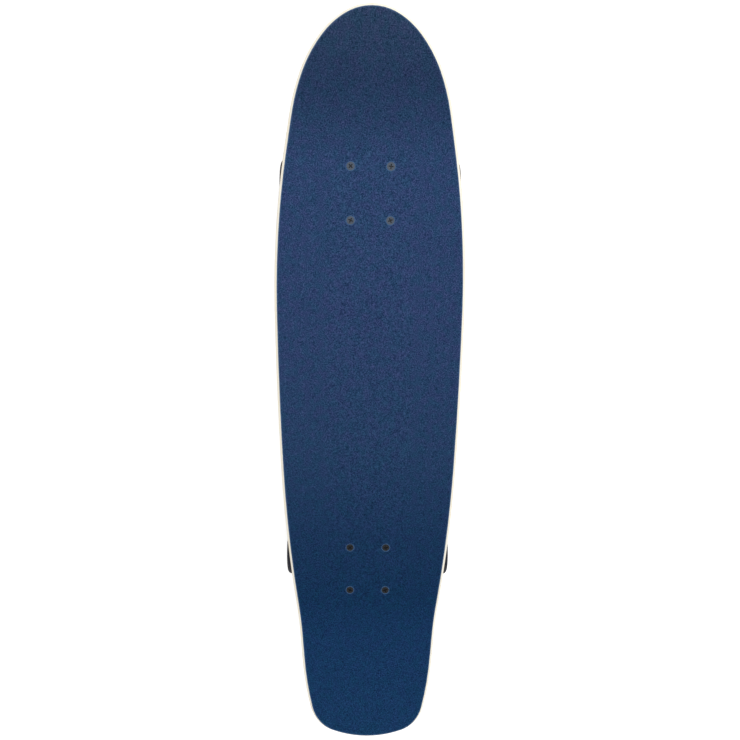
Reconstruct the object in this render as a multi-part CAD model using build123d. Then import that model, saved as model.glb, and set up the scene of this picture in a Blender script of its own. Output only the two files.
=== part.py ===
from build123d import *
import os
from math import asin, cos, radians, sin, sqrt, tan

# Cruiser longboard skateboard: a seven-ply maple deck with grip tape, two standard-kingpin
# trucks on risers, and four urethane wheels on 608 ball bearings.
# Frame: +X towards the nose, +Y to the rider's left, +Z up, ground at Z = 0 under the wheels,
# origin under the middle of the deck's length.

# ---------------------------------------------------------------- driving dimensions (mm)
# Deck outline, seen from above. Each station is a distance from the nose or tail tip, the half
# width there, and how many degrees the edge has turned in from straight.
deck_length = 783.0
deck_half_width = 100.9
widest_x = 100.0
nose_shoulder_back = 93.2
nose_shoulder_half_width = 81.2
nose_shoulder_turn = 11.8
nose_round_back = 24.3
nose_round_half_width = 49.1
nose_round_turn = 41.3
tail_waist_ahead = 136.5
tail_waist_half_width = 82.2
tail_waist_turn = 7.8
tail_corner_ahead = 32.4
tail_corner_half_width = 65.8
tail_corner_turn = 16.2

# Deck laminate and side profile.
face_ply_thickness = 1.5
core_thickness = 7.5
edge_round = 2.8
grip_thickness = 0.8
grip_inset = 2.8
concave_flat_half = 31.0
concave_radius = 420.0
sheet_margin = 6.0
nose_bend_x = 256.0
nose_bend_radius = 180.0
nose_angle = 13.0
tail_bend_x = -245.0
tail_bend_radius = 115.0
tail_angle = 20.0

# Truck mounting pattern and hardware.
front_truck_x = 219.0
rear_truck_x = -203.3
bolt_spacing_x = 53.975
bolt_spacing_y = 41.275
bolt_radius = 2.4
bolt_length = 28.6
bolt_hole_clearance = 0.35
bolt_head_clearance = 0.05
bolt_head_radius = 4.15
bolt_head_rim = 0.3
bolt_head_half_angle = 41.0
bolt_head_sink = 0.1
phillips_slot_length = 5.0
phillips_slot_width = 1.2
phillips_depth = 1.5
front_bolt_turns = (22.0, -25.0, -8.0, 45.0)  # degrees, as each bolt stands when tight
rear_bolt_turns = (40.0, 12.0, -30.0, 20.0)
mounting_nut_flats = 9.5
mounting_nut_height = 6.0
hex_bevel = 0.6
hex_slack = 0.1
riser_length = 81.0
riser_width = 58.5
riser_thickness = 3.0
riser_corner_radius = 9.0

# Truck geometry: distances from the middle of the bolt pattern, on the baseplate's top face.
truck_height = 53.0
axle_outboard = 9.0
ring_inboard = 8.0
ring_drop = 29.5
pivot_outboard = 27.0
pivot_drop = 12.5
kingpin_tilt = 25.0
pivot_stem_rise = 55.0

# Baseplate.
baseplate_length = 80.0
baseplate_width = 57.0
baseplate_thickness = 5.0
baseplate_corner_radius = 9.0
baseplate_chamfer = 1.2
boss_radius = 13.0
boss_floor = 4.0
pivot_housing_wall = 2.0

# Kingpin, its nut and the bushings round it.
kingpin_radius = 4.76
kingpin_head_flats = 14.3
kingpin_head_height = 5.5
kingpin_nut_height = 9.5
kingpin_end_reach = 2.3
kingpin_chamfer = 0.8
head_recess_radius = 8.7
bushing_bore_clearance = 0.3
board_bushing_height = 14.0
board_bushing_end_radius = 11.5
board_bushing_waist_radius = 12.2
road_bushing_height = 11.0
road_bushing_collar = 5.0
road_bushing_foot = 1.8
road_bushing_top_radius = 11.8
road_bushing_bottom_radius = 9.6
washer_thickness = 1.2
washer_lip_height = 1.4
washer_lip_width = 0.9
washer_lip_clearance = 0.3
washer_bore_clearance = 0.1

# Pivot: the ball on the hanger's stem in its urethane cup.
pivot_ball_radius = 5.5
pivot_fit = 0.05
pivot_neck_radius = 4.6
pivot_stem_radius = 7.0
pivot_stem_length = 15.0
pivot_neck_length = 6.5
pivot_stem_root = 3.0
cup_wall = 2.3
cup_mouth_reach = 6.0
cup_mouth_radius = 7.4

# Hanger.
hanger_length = 129.0
ring_half_thickness = 3.0
ring_radius = 15.5
ring_hole_radius = 8.0
ring_tab_half_width = 12.5
beam_middle_radius = 9.5
beam_end_radius = 8.0
beam_middle_half = 16.0
beam_end_chamfer = 1.5
web_thickness = 9.0
web_inboard = 5.9
web_half_span = 54.0
web_top_half_width = 8.5
web_shoulder_half_width = 13.5
web_flare_half_width = 25.0
web_end_height = 4.5
web_edge_round = 2.0

# Axle, its nuts and washers.
axle_radius = 3.97
axle_end_reach = 1.0
axle_chamfer = 0.7
axle_slip = 0.08
press_gap = 0.02
axle_nut_flats = 12.7
axle_nut_height = 6.3
speed_washer_radius = 5.6
speed_washer_thickness = 1.0

# Wheels.
wheel_radius = 30.0
wheel_width = 42.0
wheel_lip_radius = 4.5
wheel_face_radius = 23.5
core_radius = 17.0
core_width = 26.0
core_web_bore_radius = 9.0
core_chamfer = 0.8

# Bearings: 8 x 22 x 7.
bearing_bore_radius = 4.0
bearing_outer_radius = 11.0
bearing_width = 7.0
bearing_spacer_length = 10.0
bearing_spacer_radius = 5.2
inner_race_radius = 5.9
outer_race_bore_radius = 9.2
ball_radius = 1.984
ball_pitch_radius = 7.55
ball_count = 7
ball_play = 0.03
cage_inner_radius = 6.6
cage_outer_radius = 8.4
cage_pocket_play = 0.12
cage_start = 0.9
cage_end = 2.6
shield_thickness = 0.3
shield_recess = 0.25
shield_gap = 0.4

# ---------------------------------------------------------------- derived levels
nose_x = deck_length / 2
tail_x = -deck_length / 2
deck_thickness = core_thickness + 2 * face_ply_thickness
mount_z = wheel_radius + truck_height
deck_bottom_z = mount_z + riser_thickness
grip_top_z = deck_bottom_z + deck_thickness + grip_thickness
beyond = deck_length  # a length that passes right through every piece
bolt_hole_radius = bolt_radius + bolt_hole_clearance
seat_height = ring_half_thickness + board_bushing_height + washer_thickness
road_stack = ring_half_thickness + road_bushing_height + washer_thickness
wheel_centre_y = (hanger_length / 2 + speed_washer_thickness
                  + bearing_width + bearing_spacer_length / 2)
bearing_centre_y = (bearing_spacer_length + bearing_width) / 2
nut_seat_y = wheel_centre_y + bearing_spacer_length / 2 + bearing_width + speed_washer_thickness
axle_half = nut_seat_y + axle_nut_height + axle_end_reach

# Truck frame: origin on the baseplate's top face in the middle of its four holes, +X outboard.
ring_centre = Vector(-ring_inboard, 0, -ring_drop)
pivot_centre = Vector(pivot_outboard, 0, -pivot_drop)
axle_centre = Vector(axle_outboard, 0, -truck_height)
tilt = radians(kingpin_tilt)
kingpin_plane = Plane(ring_centre, x_dir=(cos(tilt), 0, -sin(tilt)), z_dir=(sin(tilt), 0, cos(tilt)))
stem_rise = radians(pivot_stem_rise)
stem_plane = Plane(pivot_centre, x_dir=(sin(stem_rise), 0, -cos(stem_rise)),
                   z_dir=(cos(stem_rise), 0, sin(stem_rise)))
axle_in_ring_frame = kingpin_plane.to_local_coords(axle_centre)

parts = {}


# ---------------------------------------------------------------- shared shapes
def rod(radius, low, high):
    """A cylinder on the Z axis from low to high."""
    return Pos(0, 0, low) * Cylinder(radius, high - low, align=(Align.CENTER, Align.CENTER, Align.MIN))


def tube(outer_radius, inner_radius, low, high):
    """A round tube on the Z axis from low to high."""
    return rod(outer_radius, low, high) - rod(inner_radius, -beyond, beyond)


def cone(low_radius, high_radius, low, high):
    """A cone on the Z axis from low to high."""
    body = Cone(low_radius, high_radius, high - low, align=(Align.CENTER, Align.CENTER, Align.MIN))
    return Pos(0, 0, low) * body


def turned(points):
    """A solid turned about the Z axis from a closed outline of (radius, height) points."""
    outline = Polyline(*points, close=True)
    return revolve(Plane.XZ * make_face(outline), Axis.Z)


def hexagon(flats, low, high):
    """A hexagonal prism on the Z axis, its corners bevelled at both ends."""
    prism = extrude(Pos(0, 0, low) * RegularPolygon(flats / 2, 6, major_radius=False), high - low)
    barrel = rod(flats / sqrt(3) + hex_slack, low, high)
    return prism & chamfer(barrel.edges().filter_by(GeomType.CIRCLE), hex_bevel + hex_slack)


def bolt_spots():
    """The four corners of the truck's bolt pattern."""
    return GridLocations(bolt_spacing_x, bolt_spacing_y, 2, 2)


def on_bolt_pattern(shape):
    """Copies of a shape at the four bolt spots."""
    return [spot * shape for spot in bolt_spots()]


def below(shape, level):
    """What lies of a shape under a level."""
    space = Box(beyond, beyond, beyond, align=(Align.CENTER, Align.CENTER, Align.MAX))
    return shape & Pos(0, 0, level) * space


def to_truck(front):
    """The place of the front or the rear truck's frame on the board."""
    if front:
        return Pos(front_truck_x, 0, mount_z)
    return Pos(rear_truck_x, 0, mount_z) * Rot(0, 0, 180)


def solid_list(shapes):
    """One compound of separate solids."""
    return Compound(children=[solid for shape in shapes for solid in shape.solids()])


# ---------------------------------------------------------------- deck
def heading(angle):
    """The unit vector at an angle from +X in the plan."""
    return Vector(cos(radians(angle)), sin(radians(angle)))


def two_arcs(start, start_angle, end, end_angle):
    """Two arcs, tangent where they meet, between two points with given headings."""
    start_way = heading(start_angle)
    end_way = heading(end_angle)
    span = end - start
    along = span.dot(start_way + end_way)
    spread = 2 * (1 - start_way.dot(end_way))
    reach = (sqrt(along * along + spread * span.dot(span)) - along) / spread
    middle = (start + end + (start_way - end_way) * reach) * 0.5
    return [TangentArc(start, middle, tangent=start_way), TangentArc(end, middle, tangent=end_way * -1)]


def edge_line(stations, inward, inset):
    """Arcs through stations of (point, heading), moved in by an inset; inward is +90 or -90."""
    moved = [(point + heading(angle + inward) * inset, angle) for point, angle in stations]
    arcs = []
    for (start, start_angle), (end, end_angle) in zip(moved, moved[1:]):
        arcs += two_arcs(start, start_angle, end, end_angle)
    return arcs


def deck_outline(inset):
    """The plan of the deck: a bullet nose, its widest point ahead of the middle, a square tail."""
    nose_stations = [
        (Vector(widest_x, deck_half_width), 0),
        (Vector(nose_x - nose_shoulder_back, nose_shoulder_half_width), -nose_shoulder_turn),
        (Vector(nose_x - nose_round_back, nose_round_half_width), -nose_round_turn),
        (Vector(nose_x, 0), -90)]
    tail_stations = [
        (Vector(widest_x, deck_half_width), 180),
        (Vector(tail_x + tail_waist_ahead, tail_waist_half_width), 180 + tail_waist_turn),
        (Vector(tail_x + tail_corner_ahead, tail_corner_half_width), 180 + tail_corner_turn),
        (Vector(tail_x, 0), 270)]
    left = edge_line(nose_stations, -90, inset) + edge_line(tail_stations, 90, inset)
    return make_face(left + [mirror(arc, Plane.XZ) for arc in left])


def tub_section(low, high):
    """Cross-section between two heights: flat in the middle, arcs up to both edges."""
    spread = asin((deck_half_width + sheet_margin - concave_flat_half) / concave_radius)
    low_radius = concave_radius - low
    high_radius = concave_radius - high

    def on_arc(side, radius, angle):
        return (side * (concave_flat_half + radius * sin(angle)), concave_radius - radius * cos(angle))

    with BuildSketch(Plane.YZ) as sketch:
        with BuildLine():
            Line((-concave_flat_half, low), (concave_flat_half, low))
            ThreePointArc(on_arc(1, low_radius, 0), on_arc(1, low_radius, spread / 2),
                          on_arc(1, low_radius, spread))
            Line(on_arc(1, low_radius, spread), on_arc(1, high_radius, spread))
            ThreePointArc(on_arc(1, high_radius, spread), on_arc(1, high_radius, spread / 2),
                          on_arc(1, high_radius, 0))
            Line((concave_flat_half, high), (-concave_flat_half, high))
            ThreePointArc(on_arc(-1, high_radius, 0), on_arc(-1, high_radius, spread / 2),
                          on_arc(-1, high_radius, spread))
            Line(on_arc(-1, high_radius, spread), on_arc(-1, low_radius, spread))
            ThreePointArc(on_arc(-1, low_radius, spread), on_arc(-1, low_radius, spread / 2),
                          on_arc(-1, low_radius, 0))
        make_face()
    return sketch.sketch.face()


def kick(section, bend_x, bend_radius, angle, side, length):
    """The bend and the straight kick at one end; side is +1 at the nose and -1 at the tail."""
    start = Pos(bend_x, 0, deck_bottom_z) * section
    bend_axis = Axis((bend_x, 0, deck_bottom_z + bend_radius), (0, -side, 0))
    bend = revolve(start, axis=bend_axis, revolution_arc=angle)
    rise = radians(angle)
    straight = extrude(start.rotate(bend_axis, angle), length, dir=(side * cos(rise), 0, sin(rise)))
    return bend + straight


def pressed_layer(low, high):
    """One layer of the pressed sheet that the deck is cut from, between two heights above its underside."""
    section = tub_section(low, high)
    middle = extrude(Pos(tail_bend_x, 0, deck_bottom_z) * section, nose_bend_x - tail_bend_x, dir=(1, 0, 0))
    nose = kick(section, nose_bend_x, nose_bend_radius, nose_angle, 1, nose_x - nose_bend_x)
    tail = kick(section, tail_bend_x, tail_bend_radius, tail_angle, -1, tail_bend_x - tail_x)
    return middle + nose + tail


def cut_to_outline(sheet, inset):
    """A pressed sheet cut to the deck's plan."""
    return sheet & extrude(Pos(0, 0, mount_z) * deck_outline(inset), beyond)


def rounded_board():
    """The whole laminate cut to the plan, with both rims rounded over."""
    board = cut_to_outline(pressed_layer(0, deck_thickness), 0)
    walls = board.faces().filter_by(lambda face: abs(face.normal_at().Z) < 0.02)  # upright
    wall_edges = [edge for wall in walls for edge in wall.edges()]
    rim = [edge for edge in wall_edges if sum(edge.is_same(other) for other in wall_edges) == 1]
    return fillet(rim, edge_round)


def bolt_head(clearance):
    """The countersunk head, its top face at Z = 0, grown by a clearance."""
    radius = bolt_head_radius + clearance
    drop = (bolt_head_radius - bolt_radius) / tan(radians(bolt_head_half_angle))
    foot_radius = bolt_radius + clearance
    return turned([(0, 0), (radius, 0), (radius, -bolt_head_rim), (foot_radius, -bolt_head_rim - drop),
                   (0, -bolt_head_rim - drop)])


def truck_hole_cutters():
    """The eight bolt holes with their countersinks, where the bolts stand."""
    hole = rod(bolt_hole_radius, -bolt_length, -bolt_head_rim)
    opening = rod(bolt_head_radius + bolt_head_clearance, 0, bolt_length)
    cutter = Pos(0, 0, grip_top_z - bolt_head_sink) * (hole + bolt_head(bolt_head_clearance) + opening)
    return [Pos(x, 0, 0) * copy for x in (front_truck_x, rear_truck_x) for copy in on_bolt_pattern(cutter)]


def build_deck():
    """The laminated deck and its grip tape."""
    holes = truck_hole_cutters()
    board = rounded_board()
    core_top = face_ply_thickness + core_thickness
    parts["deck_bottom_ply"] = pressed_layer(0, face_ply_thickness) & board
    parts["deck_core"] = pressed_layer(face_ply_thickness, core_top) & board
    parts["deck_top_ply"] = pressed_layer(core_top, deck_thickness) & board
    grip_sheet = pressed_layer(deck_thickness, deck_thickness + grip_thickness)
    parts["grip_tape"] = cut_to_outline(grip_sheet, grip_inset)
    for name in parts:
        parts[name] -= holes


# ---------------------------------------------------------------- mounting hardware
def mounting_bolt():
    """A countersunk bolt with a cross recess, its top face at Z = 0."""
    body = bolt_head(0) + rod(bolt_radius, -bolt_length, -bolt_head_rim)
    cross = Rectangle(phillips_slot_length, phillips_slot_width) + Rectangle(
        phillips_slot_width, phillips_slot_length)
    return body - extrude(cross, -phillips_depth)


def mounting_nut():
    """A locknut below the baseplate, in the truck frame."""
    low = -baseplate_thickness - mounting_nut_height
    return hexagon(mounting_nut_flats, low, -baseplate_thickness) - rod(bolt_radius + press_gap, low, 0)


def riser():
    """The riser pad between baseplate and deck."""
    pad = extrude(RectangleRounded(riser_length, riser_width, riser_corner_radius), riser_thickness)
    return pad - on_bolt_pattern(rod(bolt_hole_radius, 0, riser_thickness))


# ---------------------------------------------------------------- baseplate and pivot cup
def cup_outer(growth):
    """The outside of the pivot cup in the stem's frame."""
    return rod(pivot_ball_radius + cup_wall + growth, -cup_mouth_reach, pivot_ball_radius + cup_wall)


def baseplate():
    """The cast baseplate: plate, kingpin boss and pivot housing."""
    plate = extrude(RectangleRounded(baseplate_length, baseplate_width, baseplate_corner_radius),
                    -baseplate_thickness)
    plate = chamfer(plate.faces().sort_by(Axis.Z)[0].edges(), baseplate_chamfer)
    boss = kingpin_plane.location * rod(boss_radius, seat_height, ring_drop + boss_radius)
    housing_radius = pivot_ball_radius + cup_wall + pivot_housing_wall
    housing = stem_plane.location * rod(housing_radius, -cup_mouth_reach, housing_radius)
    body = plate + below(boss, 0) + below(housing, 0)
    kingpin_hole = kingpin_plane.location * rod(kingpin_radius + press_gap, 0, ring_drop + boss_radius)
    recess = kingpin_plane.location * rod(head_recess_radius, seat_height + boss_floor, beyond)
    holes = on_bolt_pattern(rod(bolt_hole_radius, -baseplate_thickness, 0))
    return body - kingpin_hole - recess - stem_plane.location * cup_outer(press_gap) - holes


def pivot_cup():
    """The urethane cup that the hanger's pivot ball turns in."""
    pocket = Sphere(pivot_ball_radius + pivot_fit)
    mouth = cone(cup_mouth_radius, pivot_ball_radius + pivot_fit, -cup_mouth_reach - 0.01, 0)
    return stem_plane.location * (cup_outer(0) - pocket - mouth)


# ---------------------------------------------------------------- kingpin stack
def kingpin():
    """The kingpin: hexagonal head in the baseplate, shank down through the bushings."""
    head_low = seat_height + boss_floor
    end = -(road_stack + kingpin_nut_height + kingpin_end_reach)
    shank = rod(kingpin_radius, end, head_low)
    shank = chamfer(shank.faces().sort_by(Axis.Z)[0].edges(), kingpin_chamfer)
    head = hexagon(kingpin_head_flats, head_low, head_low + kingpin_head_height)
    return kingpin_plane.location * (shank + head)


def kingpin_nut():
    """The locknut that loads the bushings."""
    low = -road_stack - kingpin_nut_height
    nut = hexagon(kingpin_head_flats, low, -road_stack) - rod(kingpin_radius + press_gap, low, 0)
    return kingpin_plane.location * nut


def board_bushing():
    """The barrel bushing between the baseplate and the hanger's ring."""
    low = ring_half_thickness
    high = low + board_bushing_height
    bore = kingpin_radius + bushing_bore_clearance
    with BuildSketch(Plane.XZ) as profile:
        with BuildLine():
            Line((bore, low), (board_bushing_end_radius, low))
            ThreePointArc((board_bushing_end_radius, low), (board_bushing_waist_radius, (low + high) / 2),
                          (board_bushing_end_radius, high))
            Line((board_bushing_end_radius, high), (bore, high))
            Line((bore, high), (bore, low))
        make_face()
    return kingpin_plane.location * revolve(profile.sketch, Axis.Z)


def road_bushing():
    """The conical bushing between the hanger's ring and the kingpin nut."""
    top = -ring_half_thickness
    low = top - road_bushing_height
    bore = kingpin_radius + bushing_bore_clearance
    shoulder = top - road_bushing_collar
    return kingpin_plane.location * turned([
        (bore, top), (road_bushing_top_radius, top), (road_bushing_top_radius, shoulder),
        (road_bushing_bottom_radius, low + road_bushing_foot), (road_bushing_bottom_radius, low),
        (bore, low)])


def cup_washer(seat, bushing_radius, side):
    """A cupped washer on a bushing's end; side is +1 when the washer lies above the bushing."""
    inner_lip = bushing_radius + washer_lip_clearance
    outer = inner_lip + washer_lip_width
    bore = kingpin_radius + washer_bore_clearance
    return kingpin_plane.location * turned([
        (bore, seat), (inner_lip, seat), (inner_lip, seat - side * washer_lip_height),
        (outer, seat - side * washer_lip_height), (outer, seat + side * washer_thickness),
        (bore, seat + side * washer_thickness)])


# ---------------------------------------------------------------- hanger and axle
def along_axle(shape):
    """Turns a shape built on the Z axis onto the axle's line, +Z becoming +Y."""
    return Pos(*axle_centre) * Rot(-90, 0, 0) * shape


def hanger():
    """The cast hanger: beam round the axle, web, ring round the kingpin, stem with pivot ball."""
    half = hanger_length / 2
    beam = turned([
        (0, -half), (beam_end_radius - beam_end_chamfer, -half), (beam_end_radius, -half + beam_end_chamfer),
        (beam_end_radius, -web_half_span), (beam_middle_radius, -beam_middle_half),
        (beam_middle_radius, beam_middle_half), (beam_end_radius, web_half_span),
        (beam_end_radius, half - beam_end_chamfer), (beam_end_radius - beam_end_chamfer, half), (0, half)])

    web_back = axle_in_ring_frame.X - web_inboard
    web_foot = axle_in_ring_frame.Z
    web_top = kingpin_plane.to_local_coords(stem_plane.from_local_coords((0, 0, -pivot_stem_length))).Z
    side = [(web_top_half_width, web_top), (web_shoulder_half_width, ring_half_thickness),
            (web_flare_half_width, -ring_half_thickness),
            (web_half_span, web_foot + web_end_height), (web_half_span, web_foot)]
    outline = side + [(-y, z) for y, z in reversed(side)]
    web = extrude(Plane.YZ * make_face(Polyline(*outline, close=True)), web_thickness)
    inboard_edges = web.faces().sort_by(Axis.X)[0].edges().filter_by(Axis.Z, reverse=True)
    web = fillet(inboard_edges.sort_by(Axis.Z)[1:], web_edge_round)

    ring = rod(ring_radius, -ring_half_thickness, ring_half_thickness)
    tab = Box(web_back + web_thickness / 2, 2 * ring_tab_half_width, 2 * ring_half_thickness,
              align=(Align.MIN, Align.CENTER, Align.CENTER))
    ring_hole = rod(ring_hole_radius, -ring_half_thickness, ring_half_thickness)
    yoke = Pos(web_back, 0, 0) * web + (ring + tab - ring_hole)

    stem = (Sphere(pivot_ball_radius) + rod(pivot_neck_radius, -pivot_neck_length, 0)
            + cone(pivot_stem_radius, pivot_neck_radius, -pivot_stem_length, -pivot_neck_length)
            + rod(pivot_stem_radius, -pivot_stem_length - pivot_stem_root, -pivot_stem_length))

    axle_bore = rod(axle_radius + press_gap, -half, half)
    body = along_axle(beam) + kingpin_plane.location * yoke + stem_plane.location * stem
    return body - along_axle(axle_bore)


def axle():
    """The axle through the hanger, chamfered at both ends."""
    bar = rod(axle_radius, -axle_half, axle_half)
    return along_axle(chamfer(bar.edges().filter_by(GeomType.CIRCLE), axle_chamfer))


def both_ends(shape):
    """A shape on the axle and its mirror image at the other end."""
    return [along_axle(shape), along_axle(mirror(shape, Plane.XY))]


def axle_nut():
    """The locknut on the axle's end."""
    high = nut_seat_y + axle_nut_height
    return hexagon(axle_nut_flats, nut_seat_y, high) - rod(axle_radius + press_gap, nut_seat_y, high)


def speed_washers():
    """The washers on both sides of a wheel's bearings."""
    outer = nut_seat_y - speed_washer_thickness
    bore = axle_radius + axle_slip
    return [tube(speed_washer_radius, bore, low, low + speed_washer_thickness)
            for low in (hanger_length / 2, outer)]


def bearing_spacer():
    """The spacer between a wheel's two inner races."""
    half = bearing_spacer_length / 2
    bore = axle_radius + axle_slip
    return tube(bearing_spacer_radius, bore, wheel_centre_y - half, wheel_centre_y + half)


# ---------------------------------------------------------------- wheel and bearings
def wheel_tyre():
    """The urethane tyre: flat tread, round lips, faces that dish in to the core."""
    half = wheel_width / 2
    core_half = core_width / 2
    bore = core_radius + press_gap
    lip_start = wheel_radius - wheel_lip_radius
    tread_half = half - wheel_lip_radius
    with BuildSketch(Plane.XZ) as profile:
        with BuildLine():
            Line((bore, -core_half), (bore, core_half))
            Line((bore, core_half), (wheel_face_radius, half))
            Line((wheel_face_radius, half), (lip_start, half))
            RadiusArc((lip_start, half), (wheel_radius, tread_half), wheel_lip_radius)
            Line((wheel_radius, tread_half), (wheel_radius, -tread_half))
            RadiusArc((wheel_radius, -tread_half), (lip_start, -half), wheel_lip_radius)
            Line((lip_start, -half), (wheel_face_radius, -half))
            Line((wheel_face_radius, -half), (bore, -core_half))
        make_face()
    return revolve(profile.sketch, Axis.Z)


def wheel_core():
    """The nylon core with a bearing seat in each face."""
    half = core_width / 2
    seat = bearing_outer_radius + press_gap
    shoulder = bearing_spacer_length / 2
    return turned([
        (core_radius, -half + core_chamfer), (core_radius, half - core_chamfer),
        (core_radius - core_chamfer, half), (seat, half), (seat, shoulder),
        (core_web_bore_radius, shoulder), (core_web_bore_radius, -shoulder), (seat, -shoulder),
        (seat, -half), (core_radius - core_chamfer, -half)])


def ball_groove():
    """The ring that the balls' path takes out of both races."""
    return Torus(ball_pitch_radius, ball_radius + ball_play)


def outer_race():
    """A bearing's outer race, its middle at Z = 0."""
    half = bearing_width / 2
    return tube(bearing_outer_radius, outer_race_bore_radius, -half, half) - ball_groove()


def inner_race():
    """A bearing's inner race."""
    half = bearing_width / 2
    return tube(inner_race_radius, bearing_bore_radius, -half, half) - ball_groove()


def ball_spots():
    """Where the balls stand round a bearing."""
    return PolarLocations(ball_pitch_radius, ball_count)


def balls():
    """A bearing's balls."""
    return [spot * Sphere(ball_radius) for spot in ball_spots()]


def cage():
    """The crown cage that keeps the balls apart."""
    pockets = [spot * Sphere(ball_radius + cage_pocket_play) for spot in ball_spots()]
    return tube(cage_outer_radius, cage_inner_radius, cage_start, cage_end) - pockets


def shields():
    """The steel shields in both faces of a bearing."""
    low = bearing_width / 2 - shield_recess - shield_thickness
    shield = tube(outer_race_bore_radius - press_gap, inner_race_radius + shield_gap, low,
                  low + shield_thickness)
    return [shield, mirror(shield, Plane.XY)]


def in_both_seats(shapes):
    """Bearing pieces at a wheel's two bearing seats, in the wheel's frame."""
    return [Pos(0, 0, z) * shape for z in (-bearing_centre_y, bearing_centre_y) for shape in shapes]


# ---------------------------------------------------------------- assembly
def build_truck(end, front):
    """Names and places one truck's pieces and its mounting hardware."""
    place = to_truck(front)
    head_level = grip_top_z - bolt_head_sink - mount_z
    turns = front_bolt_turns if front else rear_bolt_turns
    bolt = Pos(0, 0, head_level) * mounting_bolt()
    road_seat = -ring_half_thickness - road_bushing_height
    board_seat = ring_half_thickness + board_bushing_height
    washers = [cup_washer(board_seat, board_bushing_end_radius, 1),
               cup_washer(road_seat, road_bushing_bottom_radius, -1)]
    pieces = {
        "mounting_bolts": solid_list([spot * Rot(0, 0, turn) * bolt
                                      for spot, turn in zip(bolt_spots(), turns)]),
        "mounting_nuts": solid_list(on_bolt_pattern(mounting_nut())),
        "riser_pad": riser(),
        "baseplate": baseplate(),
        "pivot_cup": pivot_cup(),
        "kingpin": kingpin(),
        "kingpin_nut": kingpin_nut(),
        "board_bushing": board_bushing(),
        "road_bushing": road_bushing(),
        "cup_washers": solid_list(washers),
        "hanger": hanger(),
        "axle": axle(),
        "axle_nuts": solid_list(both_ends(axle_nut())),
        "speed_washers": solid_list([copy for washer in speed_washers() for copy in both_ends(washer)]),
        "bearing_spacers": solid_list(both_ends(bearing_spacer())),
        "inner_races": solid_list([
            copy for race in in_both_seats([inner_race()])
            for copy in both_ends(Pos(0, 0, wheel_centre_y) * race)]),
    }
    for name, piece in pieces.items():
        parts[f"{end}_{name}"] = place * piece


def build_wheel(end, front, hand, side):
    """Names and places one wheel; side is +1 on the board's left."""
    truck_side = side if front else -side
    place = to_truck(front) * Pos(0, truck_side * wheel_centre_y, 0) * Pos(*axle_centre) * Rot(-90, 0, 0)
    pieces = {
        "tyre": wheel_tyre(),
        "wheel_core": wheel_core(),
        "outer_races": solid_list(in_both_seats([outer_race()])),
        "bearing_balls": solid_list(in_both_seats(balls())),
        "bearing_cages": solid_list(in_both_seats([cage()])),
        "bearing_shields": solid_list(in_both_seats(shields())),
    }
    for name, piece in pieces.items():
        parts[f"{end}_{hand}_{name}"] = place * piece


build_deck()
for end, front in (("front", True), ("rear", False)):
    build_truck(end, front)
    for hand, side in (("left", 1), ("right", -1)):
        build_wheel(end, front, hand, side)

os.makedirs("parts", exist_ok=True)
for name, piece in parts.items():
    export_step(piece, f"parts/{name}.step")
    print(f"{name}: {len(piece.solids())} solids, {sum(solid.volume for solid in piece.solids()):.1f} mm3")
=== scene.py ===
import math

import bmesh
import bpy
from mathutils import Matrix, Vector
from mathutils.bvhtree import BVHTree


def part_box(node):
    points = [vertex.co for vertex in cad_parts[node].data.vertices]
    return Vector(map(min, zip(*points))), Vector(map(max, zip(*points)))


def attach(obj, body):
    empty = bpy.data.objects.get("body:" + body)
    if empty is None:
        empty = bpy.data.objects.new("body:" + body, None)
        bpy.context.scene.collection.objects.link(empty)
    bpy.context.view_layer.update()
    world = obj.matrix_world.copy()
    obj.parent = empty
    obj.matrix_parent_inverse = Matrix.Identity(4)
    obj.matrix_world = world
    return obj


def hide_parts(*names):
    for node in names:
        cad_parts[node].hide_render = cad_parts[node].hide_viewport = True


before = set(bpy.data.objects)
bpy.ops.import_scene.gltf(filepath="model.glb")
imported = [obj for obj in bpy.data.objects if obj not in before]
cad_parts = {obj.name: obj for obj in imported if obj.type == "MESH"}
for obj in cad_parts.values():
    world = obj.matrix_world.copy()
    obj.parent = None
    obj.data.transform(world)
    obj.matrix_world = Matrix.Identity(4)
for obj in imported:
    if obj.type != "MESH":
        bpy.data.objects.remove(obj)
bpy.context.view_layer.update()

# ---------------------------------------------------------------- studio
# A pale floor that the board stands on, one big soft lamp over the nose and an even white room.
# The camera hangs over the board, a little nearer the nose, and looks down with a slight tilt.
scene = bpy.context.scene
scene.view_settings.view_transform = "Standard"


def turn(degrees, axis):
    """A turn about an axis, to aim the camera."""
    return Matrix.Rotation(math.radians(degrees), 3, axis)


camera_place = (0.1894, 0.0062, 0.8111)
camera_roll, camera_lean, camera_pitch = -0.34, 0.55, 12.33
camera_data = bpy.data.cameras.new("camera")
camera_data.sensor_width = 36.0
camera_data.lens = 32.71
camera = bpy.data.objects.new("camera", camera_data)
scene.collection.objects.link(camera)
hanging_down = Matrix(((0, -1, 0), (1, 0, 0), (0, 0, 1)))
camera_axes = turn(camera_roll, "Z") @ turn(camera_lean, "Y") @ turn(camera_pitch, "X") @ hanging_down
camera.matrix_world = Matrix.Translation(camera_place) @ camera_axes.transposed().to_4x4()
scene.camera = camera


def node(tree, kind, **settings):
    """A shader node with its sockets and properties set by name; a socket value links it."""
    made = tree.nodes.new(kind)
    for name, value in settings.items():
        socket = made.inputs.get(name.replace("_", " "))
        if socket is None:
            setattr(made, name, value)
        elif isinstance(value, bpy.types.NodeSocket):
            tree.links.new(value, socket)
        else:
            socket.default_value = value
    return made


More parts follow.
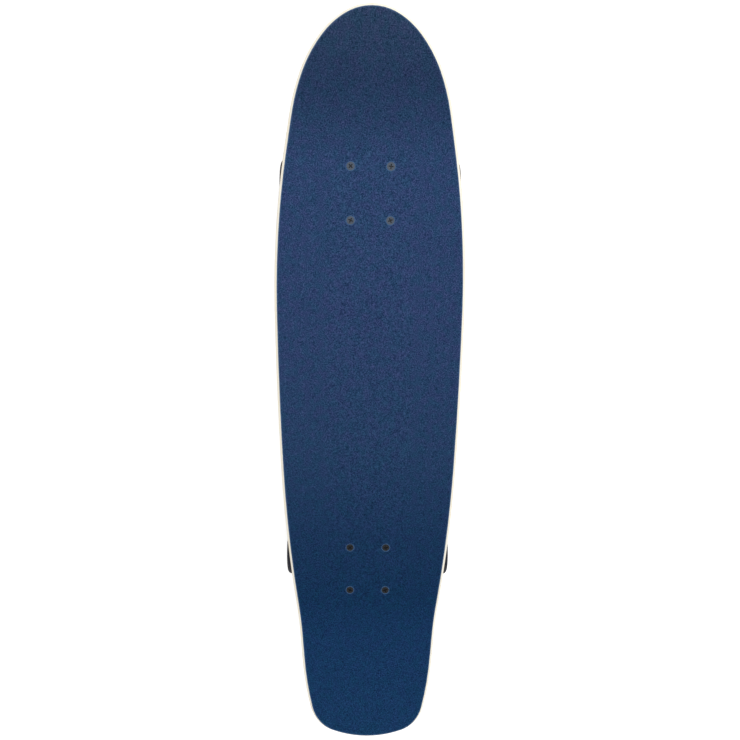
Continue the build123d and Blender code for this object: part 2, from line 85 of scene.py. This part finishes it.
def calculate(tree, operation, first, second=0.0, third=0.0):
    """A Math node on numbers or sockets; gives its output."""
    made = tree.nodes.new("ShaderNodeMath")
    made.operation = operation
    for socket, value in zip(made.inputs, (first, second, third)):
        if isinstance(value, bpy.types.NodeSocket):
            tree.links.new(value, socket)
        else:
            socket.default_value = value
    return made.outputs[0]


def new_material(name, **principled):
    """A material with its own Principled shader; gives the material, its tree, shader and place."""
    material = bpy.data.materials.new(name)
    material.use_nodes = True
    tree = material.node_tree
    shader = tree.nodes["Principled BSDF"]
    for socket, value in principled.items():
        shader.inputs[socket.replace("_", " ")].default_value = value
    place = tree.nodes.new("ShaderNodeTexCoord").outputs["Object"]
    return material, tree, shader, place


def seen_directly(tree):
    """1 where the camera sees a thing straight or through something clear, and 0 for other light."""
    light_path = tree.nodes.new("ShaderNodeLightPath").outputs
    return calculate(tree, "MAXIMUM", light_path["Is Camera Ray"], light_path["Is Transmission Ray"])


# The floor is grey to the lamps and lifted to white for the eye, and it can't be seen from below.
floor_reach = 12.0
floor_grey = (0.82, 0.82, 0.82, 1)
floor_lift = 0.6
floor_corners = [(-floor_reach, -floor_reach, 0), (floor_reach, -floor_reach, 0),
                 (floor_reach, floor_reach, 0), (-floor_reach, floor_reach, 0)]
floor_mesh = bpy.data.meshes.new("studio_floor")
floor_mesh.from_pydata(floor_corners, [], [(0, 1, 2, 3)])
floor = bpy.data.objects.new("studio_floor", floor_mesh)
scene.collection.objects.link(floor)

floor_material, tree, shader, place = new_material("studio_floor", Roughness=0.9, Specular_IOR_Level=0.0)
shader.inputs["Base Color"].default_value = floor_grey
lift_strength = calculate(tree, "MULTIPLY", seen_directly(tree), floor_lift)
lift = node(tree, "ShaderNodeEmission", Color=(1, 1, 1, 1), Strength=lift_strength)
lit_floor = tree.nodes.new("ShaderNodeAddShader")
tree.links.new(shader.outputs[0], lit_floor.inputs[0])
tree.links.new(lift.outputs[0], lit_floor.inputs[1])
underside = tree.nodes.new("ShaderNodeNewGeometry").outputs["Backfacing"]
camera_ray = tree.nodes.new("ShaderNodeLightPath").outputs["Is Camera Ray"]
from_below = tree.nodes.new("ShaderNodeMixShader")
tree.links.new(calculate(tree, "MULTIPLY", underside, camera_ray), from_below.inputs[0])
tree.links.new(lit_floor.outputs[0], from_below.inputs[1])
tree.links.new(tree.nodes.new("ShaderNodeBsdfTransparent").outputs[0], from_below.inputs[2])
tree.links.new(from_below.outputs[0], tree.nodes["Material Output"].inputs["Surface"])
floor_mesh.materials.append(floor_material)

room_level = 0.66
world = bpy.data.worlds.new("studio_room")
world.use_nodes = True
tree = world.node_tree
room_strength = calculate(tree, "MULTIPLY_ADD", seen_directly(tree), 1.0 - room_level, room_level)
tree.links.new(room_strength, tree.nodes["Background"].inputs["Strength"])
tree.nodes["Background"].inputs["Color"].default_value = (1, 1, 1, 1)
scene.world = world

lamp_data = bpy.data.lights.new("soft_lamp", "AREA")
lamp_data.shape = "RECTANGLE"
lamp_data.size, lamp_data.size_y = 1.6, 1.2
lamp_data.energy = 26.0
lamp = bpy.data.objects.new("soft_lamp", lamp_data)
lamp.location = (1.0, -0.7, 2.1)
lamp.rotation_mode = "QUATERNION"
lamp.rotation_quaternion = (-lamp.location).to_track_quat("-Z", "Y")
scene.collection.objects.link(lamp)


# ---------------------------------------------------------------- grip tape
# One sheet of navy abrasive paper, glued on the deck and cut off a little inside its edge. A painted
# highlight makes a paler line along that edge. The navy carries painted light along the board: a painted
# sheen that grows from the tail towards the nose, and painted shade on the kicked tail and nose. It also
# varies in blotches and grain by grain.
def rgb(red, green, blue):
    """A screen colour, 0 to 255, as the linear values that shaders take."""
    levels = (value / 255 for value in (red, green, blue))
    return tuple(((v + 0.055) / 1.055) ** 2.4 if v > 10 / 255 else v / 12.92 for v in levels)


def ramp(tree, factor, *stops):
    """A colour ramp through (position, colour) stops, where a number is a grey; gives its colour."""
    made = tree.nodes.new("ShaderNodeValToRGB")
    elements = made.color_ramp.elements
    while len(elements) < len(stops):
        elements.new(0.5)
    for element, (position, colour) in zip(elements, stops):
        element.position = position
        if isinstance(colour, (int, float)):
            colour = (colour, colour, colour)
        element.color = (*colour, 1)
    tree.links.new(factor, made.inputs[0])
    return made.outputs[0]


def blend_colours(tree, amount, first, second, how="MIX"):
    """Mixes two colours, each a socket or a plain colour; gives the mixed colour."""
    made = tree.nodes.new("ShaderNodeMix")
    made.data_type = "RGBA"
    made.blend_type = how
    for socket, value in zip((made.inputs[0], made.inputs[6], made.inputs[7]), (amount, first, second)):
        if isinstance(value, bpy.types.NodeSocket):
            tree.links.new(value, socket)
        elif isinstance(value, (int, float)):
            socket.default_value = value
        else:
            socket.default_value = (*value, 1)
    return made.outputs[2]


def effect_group(name, inputs, outputs):
    """A shader node group with float, vector or colour sockets; gives it with its two end nodes."""
    group = bpy.data.node_groups.new(name, "ShaderNodeTree")
    for socket, default in inputs.items():
        size = len(default) if isinstance(default, tuple) else 1
        kind = {1: "NodeSocketFloat", 3: "NodeSocketVector", 4: "NodeSocketColor"}[size]
        group.interface.new_socket(name=socket, in_out="INPUT", socket_type=kind).default_value = default
    for socket, kind in outputs.items():
        group.interface.new_socket(name=socket, in_out="OUTPUT", socket_type=kind)
    return group, group.nodes.new("NodeGroupInput").outputs, group.nodes.new("NodeGroupOutput").inputs


def use_effect(tree, group, **values):
    """Places an effect group in a material; gives its outputs."""
    made = tree.nodes.new("ShaderNodeGroup")
    made.node_tree = group
    for name, value in values.items():
        socket = made.inputs[name.replace("_", " ")]
        if isinstance(value, bpy.types.NodeSocket):
            tree.links.new(value, socket)
        else:
            socket.default_value = value
    return made.outputs


def add_bump(tree, shader, height, distance):
    """Feeds a height, in metres when it is 1, to the shader's normal."""
    bump = node(tree, "ShaderNodeBump", Height=height, Strength=1.0, Distance=distance)
    tree.links.new(bump.outputs[0], shader.inputs["Normal"])


def finish_node(name, material):
    """Gives a CAD node its material."""
    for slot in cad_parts[name].material_slots:
        slot.material = material


# Edge mask for worn metal edges and for a painted highlight on the grip's edge: 1 along sharp outside
# edges, broken up by noise, and 0 elsewhere.
edge_gain = 6.0
least_edge_break = 0.1
edge_wear_and_highlight, given, result = effect_group(
    "edge_wear_and_highlight", {"Place": (0.0, 0.0, 0.0), "Radius": 0.0008, "Break Up": 300.0, "Amount": 1.0},
    {"Mask": "NodeSocketFloat"})
rounded = node(edge_wear_and_highlight, "ShaderNodeBevel", Radius=given["Radius"], samples=4)
true_normal = edge_wear_and_highlight.nodes.new("ShaderNodeNewGeometry").outputs["Normal"]
same_way = node(edge_wear_and_highlight, "ShaderNodeVectorMath", operation="DOT_PRODUCT")
edge_wear_and_highlight.links.new(rounded.outputs[0], same_way.inputs[0])
edge_wear_and_highlight.links.new(true_normal, same_way.inputs[1])
bend = calculate(edge_wear_and_highlight, "SUBTRACT", 1.0, same_way.outputs["Value"])
edge_break_noise = node(edge_wear_and_highlight, "ShaderNodeTexNoise", Vector=given["Place"], Scale=given["Break Up"], Detail=3.0)
edge_break = calculate(edge_wear_and_highlight, "ADD", edge_break_noise.outputs["Fac"], least_edge_break)
edge = calculate(edge_wear_and_highlight, "MULTIPLY", bend, edge_gain)
edge = calculate(edge_wear_and_highlight, "MULTIPLY", edge, edge_break)
mask = node(edge_wear_and_highlight, "ShaderNodeClamp", Value=calculate(edge_wear_and_highlight, "MULTIPLY", edge, given["Amount"]))
edge_wear_and_highlight.links.new(mask.outputs[0], result["Mask"])

# Paler blue of a painted highlight along the grip's outer edge.
edge_highlight_blue = rgb(88, 120, 158)
grit_height = 0.00025
grip_material, tree, shader, place = new_material("grip_tape", Roughness=0.9, Specular_IOR_Level=0.1)
low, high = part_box("grip_tape")
axes = tree.nodes.new("ShaderNodeSeparateXYZ")
tree.links.new(place, axes.inputs[0])
along = node(tree, "ShaderNodeMapRange", Value=axes.outputs["X"], From_Min=low.x, From_Max=high.x)
# Painted light along the board: the navy grows paler from the tail towards the nose as a painted sheen,
# and dips darker as painted shade where the tail and nose kick up.
navy_with_painted_light = ramp(tree, along.outputs[0],
            (0.00, rgb(18, 55, 94)), (0.13, rgb(17, 52, 91)), (0.19, rgb(13, 48, 84)),
            (0.29, rgb(21, 51, 87)), (0.42, rgb(33, 60, 96)), (0.60, rgb(40, 63, 102)),
            (0.82, rgb(41, 66, 105)), (0.92, rgb(34, 56, 89)), (1.00, rgb(41, 62, 93)))
blotches = node(tree, "ShaderNodeTexNoise", Vector=place, Scale=110.0, Detail=2.0)
dye = ramp(tree, blotches.outputs["Fac"], (0.35, (0.82, 1.05, 0.97)), (0.65, (1.18, 0.95, 1.03)))
navy_with_painted_light = blend_colours(tree, 1.0, navy_with_painted_light, dye, "MULTIPLY")
grit = node(tree, "ShaderNodeTexNoise", Vector=place, Scale=950.0, Detail=2.0, Roughness=0.7)
grit_tone = ramp(tree, grit.outputs["Fac"], (0.30, (0.0, 0.2, 0.3)), (0.50, 1.0), (0.70, (2.8, 2.0, 1.75)))
navy_with_painted_light = blend_colours(tree, 1.0, navy_with_painted_light, grit_tone, "MULTIPLY")
# Painted highlight: a paler blue line where the grip's outer edge catches the light.
painted_edge_highlight = use_effect(tree, edge_wear_and_highlight, Place=place, Radius=0.0022, Break_Up=700.0, Amount=0.9)["Mask"]
tree.links.new(blend_colours(tree, painted_edge_highlight, navy_with_painted_light, edge_highlight_blue), shader.inputs["Base Color"])
crystals = node(tree, "ShaderNodeTexVoronoi", Vector=place, Scale=2600.0)
relief = calculate(tree, "ADD", crystals.outputs["Distance"], grit.outputs["Fac"])
add_bump(tree, shader, relief, grit_height)
finish_node("grip_tape", grip_material)

# ---------------------------------------------------------------- deck plies
# Seven maple veneers pressed and glued. The bottom face is clear-lacquered and the top one shows as
# a sanded cream rim. The five inner plies are bands of long and cross grain between glue lines.
maple_pale = (*rgb(246, 233, 208), 1)
maple_dark = (*rgb(226, 200, 160), 1)
rim_pale = (*rgb(254, 250, 238), 1)
rim_dark = (*rgb(246, 236, 214), 1)
pore_depth = 0.00004
sanded_relief = 0.00005

# Timber: streaks, growth bands and pores that run along X, as on rotary-cut maple veneer.
streak_stretch = (0.09, 1.0, 1.0)
pore_stretch = (0.05, 1.0, 1.0)
band_wander = 0.09
band_contrast = 0.14
streak_contrast = 0.75
least_figure = 0.02
timber_grain, given, result = effect_group(
    "timber_grain", {"Place": (0.0, 0.0, 0.0), "Pale": (0.8, 0.6, 0.4, 1.0), "Dark": (0.6, 0.4, 0.2, 1.0),
                     "Band Width": 0.012},
    {"Color": "NodeSocketColor", "Pores": "NodeSocketFloat"})
stretched = node(timber_grain, "ShaderNodeMapping", Vector=given["Place"], Scale=streak_stretch)
drift = node(timber_grain, "ShaderNodeTexNoise", Vector=stretched.outputs[0], Scale=22.0, Detail=2.0)
axes = timber_grain.nodes.new("ShaderNodeSeparateXYZ")
timber_grain.links.new(stretched.outputs[0], axes.inputs[0])
wander = calculate(timber_grain, "MULTIPLY_ADD", drift.outputs["Fac"], band_wander, axes.outputs["Y"])
bands = calculate(timber_grain, "DIVIDE", wander, given["Band Width"])
bands = calculate(timber_grain, "SINE", calculate(timber_grain, "MULTIPLY", bands, 2 * math.pi))
streaks = node(timber_grain, "ShaderNodeTexNoise", Vector=stretched.outputs[0], Scale=420.0, Detail=4.0,
               Roughness=0.65)
figure = calculate(timber_grain, "MULTIPLY_ADD", bands, band_contrast, least_figure)
figure = calculate(timber_grain, "MULTIPLY_ADD", streaks.outputs["Fac"], streak_contrast, figure)
figure = node(timber_grain, "ShaderNodeClamp", Value=figure)
grain_colour = blend_colours(timber_grain, figure.outputs[0], given["Pale"], given["Dark"])
timber_grain.links.new(grain_colour, result["Color"])
fine = node(timber_grain, "ShaderNodeMapping", Vector=given["Place"], Scale=pore_stretch)
pores = node(timber_grain, "ShaderNodeTexNoise", Vector=fine.outputs[0], Scale=2600.0, Detail=1.0)
timber_grain.links.new(pores.outputs["Fac"], result["Pores"])


def maple_veneer(name, pale, dark, **principled):
    """Maple with its grain along the board and open pores."""
    material, tree, shader, place = new_material(name, **principled)
    grain = use_effect(tree, timber_grain, Place=place, Pale=pale, Dark=dark, Band_Width=0.013)
    tree.links.new(grain["Color"], shader.inputs["Base Color"])
    add_bump(tree, shader, grain["Pores"], pore_depth)
    return material


finish_node("deck_bottom_ply", maple_veneer("maple_face", maple_pale, maple_dark, Roughness=0.4,
                                            Coat_Weight=0.35, Coat_Roughness=0.18))
finish_node("deck_top_ply", maple_veneer("maple_rim", rim_pale, rim_dark, Roughness=0.5))

# The core's colour goes by its depth, 0 on the bottom ply and 1 under the top one: each ply is a
# flat tone, and a dark glue line stands between it and the next.
core_material, tree, shader, place = new_material("maple_core", Roughness=0.5)
grain = use_effect(tree, timber_grain, Place=place, Pale=maple_pale, Dark=maple_dark, Band_Width=0.009)
depth = node(tree, "ShaderNodeAttribute", attribute_name="ply_depth").outputs["Fac"]
ply_tone = ramp(tree, depth,
                (0.0, 1.0), (0.19, 0.93), (0.205, 0.45),
                (0.22, 0.74), (0.385, 0.70), (0.40, 0.42),
                (0.415, 0.96), (0.585, 1.0), (0.60, 0.45),
                (0.615, 0.76), (0.78, 0.70), (0.80, 0.42),
                (0.815, 0.95), (1.0, 1.0))
tree.links.new(blend_colours(tree, 1.0, grain["Color"], ply_tone, "MULTIPLY"), shader.inputs["Base Color"])
add_bump(tree, shader, calculate(tree, "ADD", grain["Pores"], ply_tone), sanded_relief)


def surface_of(name):
    """A CAD node's surface, to measure distances from."""
    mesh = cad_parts[name].data
    return BVHTree.FromPolygons([v.co for v in mesh.vertices], [p.vertices for p in mesh.polygons])


def copy_of(name, piece_name):
    """A merged copy of a CAD node's mesh as a new piece."""
    shape = bmesh.new()
    shape.from_mesh(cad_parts[name].data)
    bmesh.ops.remove_doubles(shape, verts=shape.verts, dist=1e-6)
    mesh = bpy.data.meshes.new(piece_name)
    shape.to_mesh(mesh)
    shape.free()
    piece = bpy.data.objects.new(piece_name, mesh)
    scene.collection.objects.link(piece)
    return piece


inner_plies = copy_of("deck_core", "inner_plies")
bottom_ply = surface_of("deck_bottom_ply")
top_ply = surface_of("deck_top_ply")
ply_depth = inner_plies.data.attributes.new("ply_depth", "FLOAT", "POINT")
for vertex in inner_plies.data.vertices:
    above_bottom = bottom_ply.find_nearest(vertex.co)[3]
    below_top = top_ply.find_nearest(vertex.co)[3]
    ply_depth.data[vertex.index].value = above_bottom / (above_bottom + below_top)
inner_plies.data.materials.append(core_material)
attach(inner_plies, "deck")
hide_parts("deck_core")

# ---------------------------------------------------------------- mounting hardware
# Eight countersunk black steel bolts with cross recesses. A painted reflection makes the front faces grey,
# the rear faces stay dark, and the recesses hold painted shade. Zinc-plated locknuts sit below and a
# rubber riser pad under each truck.
# The grey of the front faces is a painted reflection on black bolts. The rear faces keep the bolts' own
# dark tone.
bolt_face_tones_with_reflection = {"front": rgb(66, 77, 93), "rear": rgb(19, 21, 27)}
# All below the bolt faces takes this colour. It is the bolts' own black, made darker than the rear faces
# as painted shade in the cross recesses.
recess_black_and_shade = rgb(9, 9, 12)
bolt_face_skin = 0.0002
gloss_drift = 0.08

# Skin of a casting or moulding: a fine pebble for the bump and a slow cloud for colour and gloss.
moulded_skin, given, result = effect_group(
    "moulded_skin", {"Place": (0.0, 0.0, 0.0), "Pebble": 0.0006, "Cloud": 0.02},
    {"Height": "NodeSocketFloat", "Cloud": "NodeSocketFloat"})
pebble_scale = calculate(moulded_skin, "DIVIDE", 1.0, given["Pebble"])
pebble = node(moulded_skin, "ShaderNodeTexNoise", Vector=given["Place"], Detail=3.0, Scale=pebble_scale)
cloud_scale = calculate(moulded_skin, "DIVIDE", 1.0, given["Cloud"])
cloud = node(moulded_skin, "ShaderNodeTexNoise", Vector=given["Place"], Detail=3.0, Scale=cloud_scale)
moulded_skin.links.new(pebble.outputs["Fac"], result["Height"])
moulded_skin.links.new(cloud.outputs["Fac"], result["Cloud"])


def tinted(colour, share):
    """A colour made darker or lighter by a share."""
    return tuple(c * share for c in colour)


def uneven_gloss(tree, shader, cloud, roughness):
    """Lets the roughness drift a little either side of its value."""
    gloss = calculate(tree, "MULTIPLY_ADD", cloud, 2 * gloss_drift, roughness - gloss_drift)
    tree.links.new(gloss, shader.inputs["Roughness"])


def metal(name, colour, roughness, pebble=0.0004, bump=0.00001, worn=None):
    """A metal with a fine skin and an uneven gloss and, where a worn colour is given, worn edges."""
    material, tree, shader, place = new_material(name, Metallic=1.0)
    skin = use_effect(tree, moulded_skin, Place=place, Pebble=pebble, Cloud=0.008)
    tone = ramp(tree, skin["Cloud"], (0.25, tinted(colour, 0.86)), (0.75, colour))
    if worn:
        mask = use_effect(tree, edge_wear_and_highlight, Place=place, Radius=0.0005, Break_Up=900.0, Amount=0.5)["Mask"]
        tone = blend_colours(tree, mask, tone, worn)
    tree.links.new(tone, shader.inputs["Base Color"])
    uneven_gloss(tree, shader, skin["Cloud"], roughness)
    add_bump(tree, shader, skin["Height"], bump)
    return material


def soft_plastic(name, colour, roughness, **principled):
    """A rubber or plastic with a slightly uneven skin and colour."""
    material, tree, shader, place = new_material(name, **principled)
    skin = use_effect(tree, moulded_skin, Place=place, Pebble=0.0005, Cloud=0.015)
    tone = ramp(tree, skin["Cloud"], (0.25, tinted(colour, 0.85)), (0.75, tinted(colour, 1.12)))
    tree.links.new(tone, shader.inputs["Base Color"])
    uneven_gloss(tree, shader, skin["Cloud"], roughness)
    add_bump(tree, shader, skin["Height"], 0.00002)
    return material


def bolt_steel(end, face_tone_with_reflection):
    """A truck's bolts: the flat faces in the given colour, which at the front is a painted reflection, and
    all below them, as the recess, black with painted shade.
    """
    material, tree, shader, place = new_material(f"{end}_bolt_steel", Roughness=0.45,
                                                 Specular_IOR_Level=0.4)
    skin = use_effect(tree, moulded_skin, Place=place, Pebble=0.0005, Cloud=0.004)
    face = ramp(tree, skin["Cloud"], (0.3, tinted(face_tone_with_reflection, 0.75)), (0.7, face_tone_with_reflection))
    axes = tree.nodes.new("ShaderNodeSeparateXYZ")
    tree.links.new(place, axes.inputs[0])
    face_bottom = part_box(f"{end}_mounting_bolts")[1].z - bolt_face_skin
    below_face = calculate(tree, "LESS_THAN", axes.outputs["Z"], face_bottom)
    tree.links.new(blend_colours(tree, below_face, face, recess_black_and_shade), shader.inputs["Base Color"])
    add_bump(tree, shader, skin["Height"], 0.00003)
    return material


zinc_plate = metal("zinc_plate", rgb(206, 208, 210), 0.3)
riser_rubber = soft_plastic("riser_rubber", rgb(26, 26, 28), 0.7)
for end, face_tone_with_reflection in bolt_face_tones_with_reflection.items():
    finish_node(f"{end}_mounting_bolts", bolt_steel(end, face_tone_with_reflection))
    finish_node(f"{end}_mounting_nuts", zinc_plate)
    finish_node(f"{end}_riser_pad", riser_rubber)

# ---------------------------------------------------------------- trucks
# Tumbled aluminium castings for the baseplate and hanger, plated steel kingpin, nuts and washers,
# blue cast urethane bushings and a black pivot cup.
truck_ends = ("front", "rear")
cast_aluminium = metal("cast_aluminium", rgb(205, 207, 210), 0.42, pebble=0.0007, bump=0.00006,
                       worn=rgb(235, 236, 238))
ground_steel = metal("ground_steel", rgb(186, 188, 192), 0.26)
bushing_urethane = soft_plastic("bushing_urethane", rgb(28, 66, 128), 0.38, Coat_Weight=0.2)
pivot_urethane = soft_plastic("pivot_urethane", rgb(24, 24, 27), 0.5)
for end in truck_ends:
    for part in ("baseplate", "hanger"):
        finish_node(f"{end}_{part}", cast_aluminium)
    for part in ("kingpin", "kingpin_nut", "cup_washers", "axle_nuts", "speed_washers"):
        finish_node(f"{end}_{part}", zinc_plate)
    for part in ("axle", "bearing_spacers"):
        finish_node(f"{end}_{part}", ground_steel)
    for part in ("board_bushing", "road_bushing"):
        finish_node(f"{end}_{part}", bushing_urethane)
    finish_node(f"{end}_pivot_cup", pivot_urethane)

# ---------------------------------------------------------------- wheels and bearings
# Cast urethane tyres in dark navy on moulded nylon cores, each core with two steel ball bearings.
# The balls run in a nylon cage behind thin steel shields.
wheel_urethane = soft_plastic("wheel_urethane", rgb(14, 19, 38), 0.5, Specular_IOR_Level=0.35)
core_nylon = soft_plastic("core_nylon", rgb(34, 40, 58), 0.5)
cage_nylon = soft_plastic("cage_nylon", rgb(214, 206, 182), 0.55)
bearing_steel = metal("bearing_steel", rgb(214, 216, 220), 0.14)
shield_steel = metal("shield_steel", rgb(178, 180, 184), 0.32)
for end in truck_ends:
    finish_node(f"{end}_inner_races", bearing_steel)
    for side in ("left", "right"):
        finish_node(f"{end}_{side}_tyre", wheel_urethane)
        finish_node(f"{end}_{side}_wheel_core", core_nylon)
        finish_node(f"{end}_{side}_outer_races", bearing_steel)
        finish_node(f"{end}_{side}_bearing_balls", bearing_steel)
        finish_node(f"{end}_{side}_bearing_cages", cage_nylon)
        finish_node(f"{end}_{side}_bearing_shields", shield_steel)
